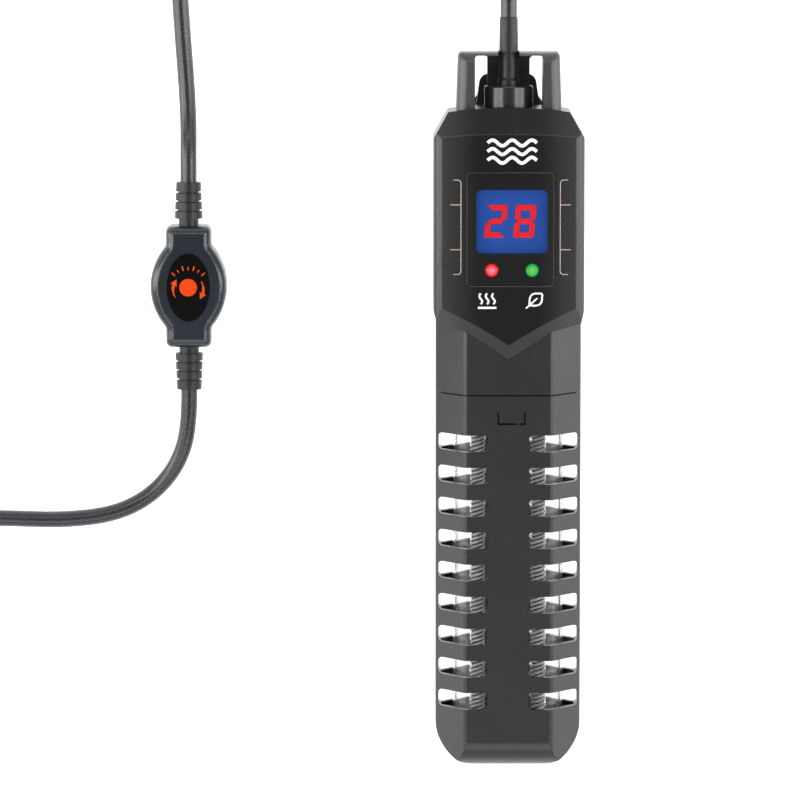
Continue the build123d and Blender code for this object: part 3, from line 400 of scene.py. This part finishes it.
def make_materials():
    amber = (0.42, 0.034, 0.003)
    return {
        # The head's front turns paler towards its sides: painted sheen, not a tone of the plastic.
        "head_black": painted_sheen_sides("head_black", (0.0045, 0.0045, 0.005), (0.022, 0.022, 0.0225),
                            rough=0.28, depth=0.000003, specular=0.28, dark_half=9.0, pale_half=25.0),
        "body_black": moulded("body_black", (0.011, 0.011, 0.0115), (0.014, 0.014, 0.0145),
                              rough=0.30, grain=1800, depth=0.000006, specular=0.38),
        "crown_grey": moulded("crown_grey", (0.026, 0.0265, 0.027), (0.034, 0.0345, 0.036),
                              rough=0.34, grain=2200, depth=0.000004, specular=0.4),
        "gland_black": moulded("gland_black", (0.010, 0.010, 0.0105), (0.014, 0.014, 0.0145),
                               rough=0.26, grain=2200, depth=0.000004, specular=0.4),
        "rubber_black": moulded("rubber_black", (0.007, 0.0083, 0.0105), (0.010, 0.0115, 0.014),
                                rough=0.40, grain=1500, depth=0.000010, specular=0.30),
        "cup_rubber": moulded("cup_rubber", (0.004, 0.004, 0.004), (0.006, 0.006, 0.006),
                              rough=0.45, grain=1200, depth=0.000004, specular=0.2),
        "cable_black": moulded("cable_black", (0.013, 0.0135, 0.016), (0.018, 0.0185, 0.022),
                               rough=0.28, grain=1400, depth=0.000006, specular=0.4),
        "tie_black": moulded("tie_black", (0.012, 0.012, 0.013), (0.020, 0.020, 0.021),
                             rough=0.6, grain=1200, depth=0.00003),
        "steel": metal("steel", (0.48, 0.48, 0.50), (0.66, 0.66, 0.68),
                       rough=0.28, stretch=(1, 0.05, 1)),
        "wire_alloy": moulded("wire_alloy", (0.70, 0.70, 0.71), (0.84, 0.84, 0.85),
                              rough=0.30, grain=1200, depth=0.000002, specular=0.9),
        "core_ceramic": moulded("core_ceramic", (0.045, 0.045, 0.044), (0.07, 0.07, 0.068),
                                rough=0.7, grain=1800, depth=0.00002),
        "quartz": clear("quartz", (0.95, 0.965, 0.97), rough=0.01, through=0.95),
        "display_glass": thin_clear("display_glass", cloud=0.004),
        "display_blue": backlit_and_painted_glow("display_blue", (0.006, 0.031, 0.155), glow=0.6),
        "digit_red": backlit_and_painted_glow("digit_red", (0.33, 0.004, 0.0035), glow=0.7),
        "lamp_red": lamp("lamp_red", (0.50, 0.006, 0.006), (0.52, 0.16, 0.24),
                         PANEL_X - LED_X, LED_Y, LENS_R),
        "lamp_green": lamp("lamp_green", (0.006, 0.18, 0.030), (0.10, 0.29, 0.05),
                           PANEL_X + LED_X, LED_Y, LENS_R),
        "print_white": moulded("print_white", (0.56, 0.56, 0.56), (0.64, 0.64, 0.64),
                               rough=0.6, grain=1500, depth=0.000002, specular=0.2),
        "print_pink": moulded("print_pink", (0.36, 0.28, 0.25), (0.41, 0.33, 0.29),
                              rough=0.6, grain=1500, depth=0.000002, specular=0.2),
        # rim_grey is a painted highlight: a grey paler than the head, laid along the display rim.
        "rim_grey": moulded("rim_grey", (0.022, 0.022, 0.022), (0.034, 0.034, 0.034),
                            rough=0.4, grain=1500, depth=0.000002, specular=0.3),
        # Painted glow: the orange print gives off light though it is no lamp.
        "print_orange": backlit_and_painted_glow("print_orange", amber, glow=0.25, rough=0.5),
        "board_green": moulded("board_green", (0.010, 0.12, 0.04), (0.015, 0.16, 0.055),
                               rough=0.4, grain=900),
        "component_black": moulded("component_black", (0.012, 0.012, 0.013), (0.02, 0.02, 0.02)),
        "component_yellow": moulded("component_yellow", (0.55, 0.36, 0.05), (0.65, 0.44, 0.07)),
        "controller_black": moulded("controller_black", (0.007, 0.009, 0.013), (0.010, 0.013, 0.018),
                                    rough=0.28, grain=2000, depth=0.000004, specular=0.4, coat=0.15),
        "panel_gloss": moulded("panel_gloss", (0.002, 0.002, 0.002), (0.003, 0.003, 0.003),
                               rough=0.16, grain=900, depth=0.000002, specular=0.2),
        # Painted glow: the orange button gives off light though it is no lamp.
        "button_orange": backlit_and_painted_glow("button_orange", amber, glow=0.3, rough=0.3),
        "pin_brass": metal("pin_brass", (0.60, 0.47, 0.22), (0.74, 0.60, 0.30),
                           rough=0.25, stretch=(1, 0.08, 1)),
    }


def dress_frame(materials):
    """Gives every CAD node the finish of its slot."""
    slots = {entry["node"]: entry["material_slot"] for entry in frame["record"]["subparts"]}
    for name, node in frame["nodes"].items():
        for index in range(len(node.material_slots)):
            node.material_slots[index].material = materials[slots[name]]


# ------------------------------------------------------------------ floor and light
FLOOR_SIZE = 1.6
FLOOR_PLACE = (-0.12, 0.05, -0.0002)
FLOOR_GLOW = 0.45
WORLD_STRENGTH = 1.5
WORLD_DARK = 0.10
LIGHT_AIM = Vector((0, 0, 0.02))

# The surround is white below the first height and dark above the second,
# measured on a direction of length one: 0 at the horizon, 1 overhead
WORLD_LOW = 0.40
WORLD_HIGH = 0.62

# Place and size in metres, and power in watts, of each light
LIGHTS = {
    "strip_left": ((-1.25, 0.1, 0.42), (0.35, 2.4), 20.0),
    "strip_right": ((1.25, 0.1, 0.42), (0.35, 2.4), 18.0),
    "edge_left": ((-0.80, 0.0, 1.16), (2.4, 0.07), 9.0),
    "edge_right": ((0.80, 0.0, 1.16), (2.4, 0.07), 9.0),
    "softbox_foot": ((0.0, -1.05, 1.55), (1.8, 1.0), 15.0),
    "softbox_crown": ((0.0, 1.15, 1.75), (1.6, 0.25), 8.0),
}


def make_stage():
    bpy.ops.mesh.primitive_plane_add(size=FLOOR_SIZE, location=FLOOR_PLACE)
    floor = bpy.context.object
    floor.name = "floor"
    material, _, _, shader = new_material("floor")
    shader.inputs["Base Color"].default_value = (0.93, 0.93, 0.93, 1)
    shader.inputs["Roughness"].default_value = 0.9
    shader.inputs["Specular IOR Level"].default_value = 0.1
    shader.inputs["Emission Color"].default_value = (1, 1, 1, 1)
    shader.inputs["Emission Strength"].default_value = FLOOR_GLOW
    floor.data.materials.append(material)

    world = bpy.data.worlds.new("world")
    world.use_nodes = True
    nodes = world.node_tree.nodes
    links = world.node_tree.links
    coords = nodes.new("ShaderNodeTexCoord")
    split = nodes.new("ShaderNodeSeparateXYZ")
    ramp = nodes.new("ShaderNodeValToRGB")
    ramp.color_ramp.elements[0].position = WORLD_LOW
    ramp.color_ramp.elements[0].color = (1, 1, 1, 1)
    ramp.color_ramp.elements[1].position = WORLD_HIGH
    ramp.color_ramp.elements[1].color = (WORLD_DARK, WORLD_DARK, WORLD_DARK, 1)
    links.new(coords.outputs["Generated"], split.inputs["Vector"])
    links.new(split.outputs["Z"], ramp.inputs["Fac"])
    links.new(ramp.outputs["Color"], nodes["Background"].inputs["Color"])
    nodes["Background"].inputs["Strength"].default_value = WORLD_STRENGTH
    bpy.context.scene.world = world
    bpy.context.scene.view_settings.view_transform = "Standard"

    for name, (place, size, energy) in LIGHTS.items():
        add_light(name, place, size, energy)


def add_light(name, place, size, energy):
    """A rectangular light aimed at the middle of the heater."""
    data = bpy.data.lights.new(name, "AREA")
    data.shape = "RECTANGLE"
    data.size, data.size_y = size
    data.energy = energy
    holder = bpy.data.objects.new(name, data)
    holder.location = place
    holder.rotation_euler = (LIGHT_AIM - holder.location).to_track_quat("-Z", "Y").to_euler()
    bpy.context.collection.objects.link(holder)


# ------------------------------------------------------------------ pieces
def mesh_piece(name, vertices, faces, body, material, smooth=True):
    """A mesh that rides a body; ink has no slot of its own."""
    mesh = bpy.data.meshes.new(name)
    mesh.from_pydata(vertices, [], faces)
    mesh.validate()
    mesh.update()
    piece = bpy.data.objects.new(name, mesh)
    bpy.context.collection.objects.link(piece)
    piece.data.materials.append(material)
    if smooth:
        for polygon in mesh.polygons:
            polygon.use_smooth = True
    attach(piece, body)
    return piece


# Sizes of the heating coil, in millimetres, and how finely it is divided
STRANDS = 3
STRAND_R = 0.38
COIL_LEAD = 4.35  # how far a strand climbs in one turn
COIL_MID_R = 2.32
COIL_PER_TURN = 22
STRAND_SIDES = 7


def heating_coil(side, materials):
    """Strands wound side by side on the ceramic core."""
    name = {-1: "left", 1: "right"}[side]
    low, high = (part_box(f"heating_wire_{name}")[k][1] / MM for k in (0, 1))
    vertices = []
    faces = []
    steps = int((high - low - 2 * STRAND_R) / COIL_LEAD * COIL_PER_TURN)
    slope = math.atan(COIL_LEAD / (2 * math.pi * COIL_MID_R))
    for start in range(STRANDS):
        base = len(vertices)
        for k in range(steps + 1):
            turn = 2 * math.pi * (k / COIL_PER_TURN + start / STRANDS)
            y = low + STRAND_R + COIL_LEAD * k / COIL_PER_TURN
            out = Vector((math.sin(turn), 0, math.cos(turn)))
            round_x = math.cos(turn) * math.cos(slope)
            round_z = -math.sin(turn) * math.cos(slope)
            up = Vector((round_x, math.sin(slope), round_z)).cross(out).normalized()
            centre = Vector((side * TUBE_X, y, MID)) + out * COIL_MID_R
            for j in range(STRAND_SIDES):
                a = 2 * math.pi * j / STRAND_SIDES
                place = centre + out * (STRAND_R * math.cos(a)) + up * (STRAND_R * math.sin(a))
                vertices.append(place * MM)
        for k in range(steps):
            for j in range(STRAND_SIDES):
                a = base + k * STRAND_SIDES + j
                b = base + k * STRAND_SIDES + (j + 1) % STRAND_SIDES
                faces.append((a, b, b + STRAND_SIDES, a + STRAND_SIDES))
        faces.append(tuple(base + j for j in reversed(range(STRAND_SIDES))))
        faces.append(tuple(base + steps * STRAND_SIDES + j for j in range(STRAND_SIDES)))
    piece = mesh_piece(f"heating_coil_{name}", vertices, faces, "heater",
                       materials["wire_alloy"])
    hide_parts(f"heating_wire_{name}")


# ------------------------------------------------------------------ printed marks
# Sizes and places in millimetres
PRINT_LIFT = 0.06  # top of the ink above the surface
INK_DEPTH = 0.05
TICK_YS = (72.7, 57.1)
RIM_HIGHLIGHT_W = 0.3  # width of the painted highlight line
RIM_INSET = 0.25  # its distance from the rim's outer edge
WAVE_YS = (94.2, 91.2, 88.2)
LAMP_MARK_Y = 36.9
ARROW_R = 5.35

ARC_STEPS = 16
MITRE_LIMIT = 0.4  # keeps a sharp corner's point short


def face_height(x):
    """Height of the head's convex front, a hair above the surface."""
    return FRONT - FACE_RADIUS + math.sqrt(FACE_RADIUS ** 2 - x ** 2) + PRINT_LIFT


def rim_height(x):
    """Height of the flat top of the rim round the display panel."""
    return FRONT + RIM_RISE + PRINT_LIFT / 2


def panel_height(x):
    """Height of the controller's flat panel."""
    return CTRL_PANEL_TOP + INK_DEPTH


def arc(centre, radius, start, end, count=ARC_STEPS):
    """Points along an arc, angles in degrees."""
    angles = [math.radians(start + (end - start) * k / count) for k in range(count + 1)]
    return [(centre[0] + radius * math.cos(a), centre[1] + radius * math.sin(a)) for a in angles]


def stroke(points, widths):
    """Left and right edges of a line through the points; widths is one width or one for each point."""
    if not isinstance(widths, list):
        widths = [widths] * len(points)
    left = []
    right = []
    for k, (point, width) in enumerate(zip(points, widths)):
        before = Vector(points[max(k - 1, 0)])
        after = Vector(points[min(k + 1, len(points) - 1)])
        here = Vector(point)
        run_in = (here - before).normalized() if k else (after - here).normalized()
        run_out = (after - here).normalized() if k < len(points) - 1 else run_in
        along = (run_in + run_out).normalized()
        across = Vector((-along.y, along.x)) * (width / 2 / max(along.dot(run_out), MITRE_LIMIT))
        left.append(here + across)
        right.append(here - across)
    return left, right


def print_marks(name, strokes, height, material):
    """Thin raised ink: every stroke is a closed strip that follows the surface under it."""
    vertices = []
    faces = []
    for points, widths in strokes:
        left, right = stroke(points, widths)
        base = len(vertices)
        for a, b in zip(left, right):
            for place, lift in ((a, 0), (b, 0), (b, -INK_DEPTH), (a, -INK_DEPTH)):
                vertices.append((place.x * MM, place.y * MM, (height(place.x) + lift) * MM))
        for k in range(len(points) - 1):
            i = base + 4 * k
            for j in range(4):
                faces.append((i + j, i + (j + 1) % 4, i + 4 + (j + 1) % 4, i + 4 + j))
        last = base + 4 * (len(points) - 1)
        faces.append((base + 3, base + 2, base + 1, base))
        faces.append((last, last + 1, last + 2, last + 3))
    return mesh_piece(name, vertices, faces, "heater", material, smooth=False)


def wave(start, length, rise, cycles):
    """Points of a sine wave running right from its start."""
    count = 36
    return [(start[0] + length * k / count,
             start[1] + rise * math.sin(2 * math.pi * cycles * k / count)) for k in range(count + 1)]


def scale_bracket(side, x):
    """One of the two scale lines: a tall line with rounded ends and two longer ticks."""
    ink = 0.24
    top = 81.3
    bottom = 48.5
    bend = 1.1
    corner_x = x + side * bend
    end_x = x + side * 2.7
    outline = [(end_x, bottom)]
    if side < 0:
        outline += arc((corner_x, bottom + bend), bend, 270, 360, 6)
        outline += arc((corner_x, top - bend), bend, 0, 90, 6)
    else:
        outline += arc((corner_x, bottom + bend), bend, 270, 180, 6)
        outline += arc((corner_x, top - bend), bend, 180, 90, 6)
    outline.append((end_x, top))
    tick_x = x + side * 3.7
    return [(outline, ink)] + [([(x, y), (tick_x, y)], ink) for y in TICK_YS]


def rim_highlight_line():
    """A painted highlight along the rim's top, a rounded rectangle closed on itself."""
    half_w = RIM_W / 2 - RIM_INSET
    half_h = RIM_H / 2 - RIM_INSET
    bend = 1.35
    corners = ((1, 1, 0), (-1, 1, 90), (-1, -1, 180), (1, -1, 270))
    path = []
    for along_x, along_y, start in corners:
        centre = (RIM_X + along_x * (half_w - bend), RIM_Y + along_y * (half_h - bend))
        path += arc(centre, bend, start, start + 90, 6)
    path.append(path[0])
    return [(path, RIM_HIGHLIGHT_W)]


def heat_mark(x, y):
    """Three rising wavy lines over a bar."""
    steps = 16
    lines = [([(x - 3.2, y), (x + 3.2, y)], 0.75)]
    for offset in (-2.2, 0.0, 2.2):
        rising = []
        for k in range(steps + 1):
            sway = 0.5 * math.sin(2 * math.pi * k / steps)
            rising.append((x + offset + sway, y + 1.3 + 3.7 * k / steps))
        lines.append((rising, 0.65))
    return lines


def leaf_mark(x, y):
    """A leaf: two bowed sides, a rib and a stalk."""
    tip = Vector((x + 2.6, y + 4.9))
    foot = Vector((x - 1.8, y + 0.9))
    bow = Vector((-(tip - foot).y, (tip - foot).x)) * 0.36
    steps = 14
    lines = []
    for turn in (1, -1):
        side = []
        for k in range(steps + 1):
            bulge = turn * bow * math.sin(math.pi * k / steps)
            side.append(tuple(foot.lerp(tip, k / steps) + bulge))
        lines.append((side, 0.6))
    lines.append(([(x - 3.0, y - 0.2), tuple(foot), tuple(foot.lerp(tip, 0.62))], 0.5))
    return lines


def curved_arrow(side):
    """A tapering curved arrow beside the button, up on the left and down on the right."""
    centre = (CTRL_X, CTRL_Y - 0.6)
    start, end, tip_angle = (212, 164, 140) if side < 0 else (32, -16, -40)
    sweep = arc(centre, ARROW_R, start, end)
    body = [0.25 + 0.85 * k / ARC_STEPS for k in range(ARC_STEPS + 1)]
    tip_angle = math.radians(tip_angle)
    tip = (centre[0] + ARROW_R * math.cos(tip_angle), centre[1] + ARROW_R * math.sin(tip_angle))
    return [(sweep, body), ([sweep[-1], tip], [2.5, 0.05])]


def dial_ticks():
    """Seven short rays above the button, every second one longer."""
    ticks = []
    for k in range(7):
        angle = 42 + 16 * k
        outer = 7.8 if k % 2 == 0 else 7.3
        ends = [arc((CTRL_X, CTRL_Y), r, angle, angle, 1)[0] for r in (6.2, outer)]
        ticks.append((ends, 0.45))
    return ticks


def make_prints(materials):
    scales = scale_bracket(-1, -16.7) + scale_bracket(1, 17.7)
    print_marks("scale_lines", scales, face_height, materials["print_pink"])
    # A pale line along the rim's top: painted highlight.
    print_marks("painted_rim_highlight", rim_highlight_line(), rim_height, materials["rim_grey"])
    waves = [(wave((-7.5, y), length=17.0, rise=1.0, cycles=2.5), 1.15) for y in WAVE_YS]
    print_marks("wave_mark", waves, face_height, materials["print_white"])
    print_marks("heat_mark", heat_mark(-7.6, LAMP_MARK_Y), face_height, materials["print_white"])
    print_marks("leaf_mark", leaf_mark(8.9, LAMP_MARK_Y), face_height, materials["print_white"])
    dial = curved_arrow(-1) + curved_arrow(1) + dial_ticks()
    print_marks("controller_marks", dial, panel_height, materials["print_orange"])


make_camera()
heater_lead, mains_lead = make_cables()
materials = make_materials()
heater_lead.data.materials.append(materials["cable_black"])
mains_lead.data.materials.append(materials["cable_black"])
dress_frame(materials)
make_stage()
for side in (-1, 1):
    heating_coil(side, materials)
make_prints(materials)
